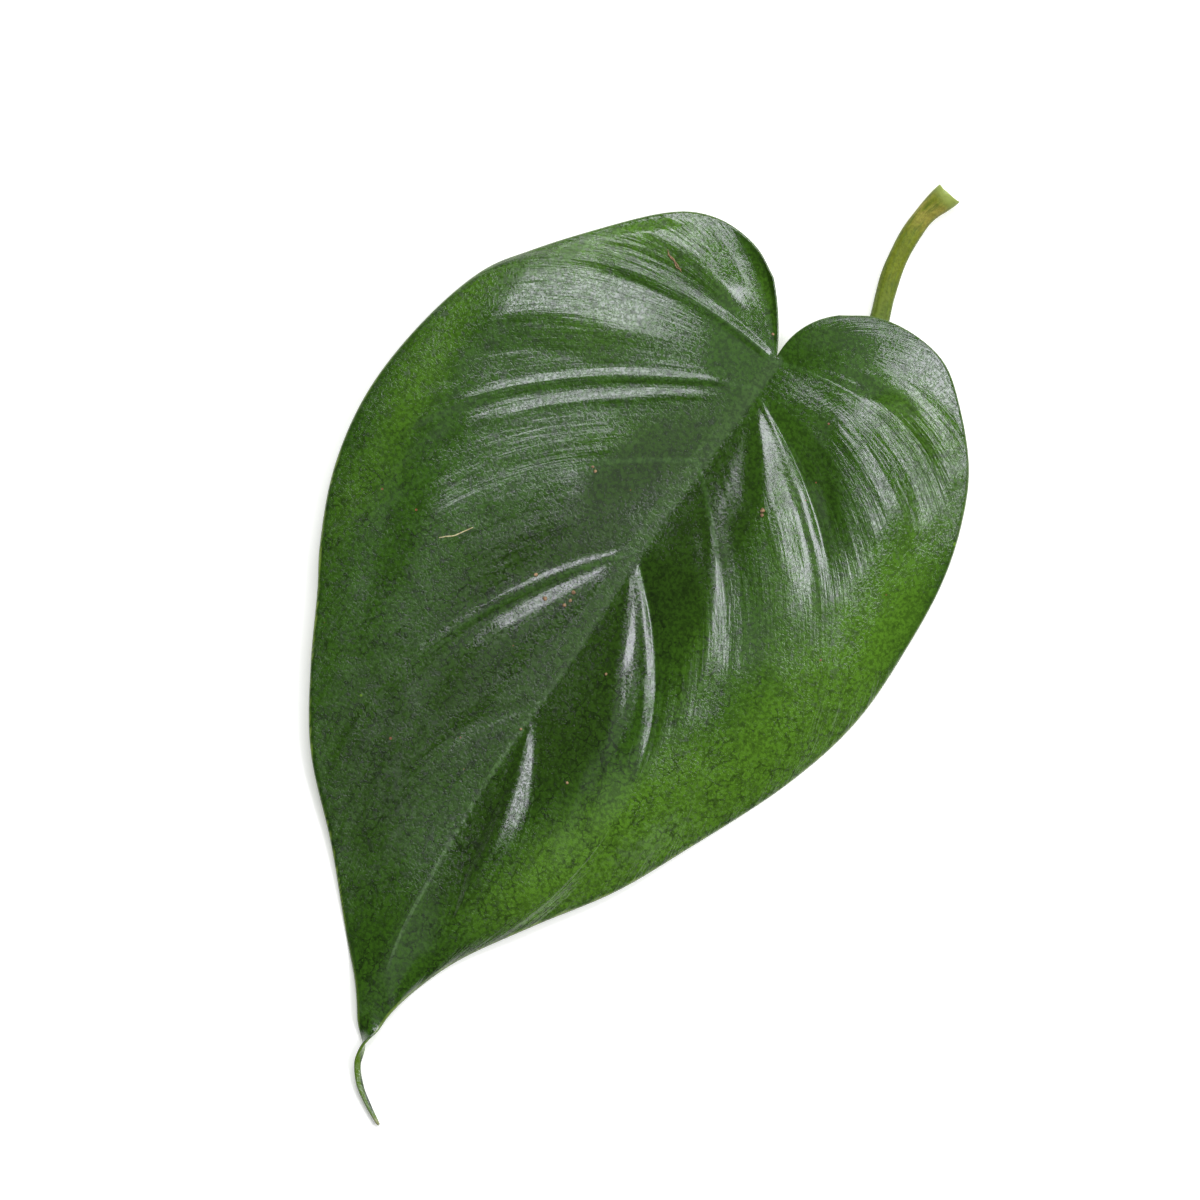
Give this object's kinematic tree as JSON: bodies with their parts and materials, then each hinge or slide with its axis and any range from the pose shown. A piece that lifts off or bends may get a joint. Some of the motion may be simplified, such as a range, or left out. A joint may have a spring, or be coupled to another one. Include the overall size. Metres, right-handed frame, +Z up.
{
  "type": "heartleaf philodendron leaf",
  "caption": "Picked heartleaf philodendron leaf lying face up, with a heart-shaped glossy blade, impressed veins, a twisted drip tip and a short bent stalk.",
  "frame": {"origin": "middle of the rectangle that the leaf covers, on the surface that it lies on", "axes": "+Y along the midrib towards the stalk, +Z up from the surface, +X to the right when the leaf is seen from above with its stalk at the top"},
  "size_m": [0.083, 0.1542, 0.0078],
  "materials": {
    "leaf_blade": "satin",
    "petiole": "satin"
  },
  "bodies": {
    "root": {"leaf_blade": "leaf_blade", "petiole": "petiole"}
  },
  "joints": []
}
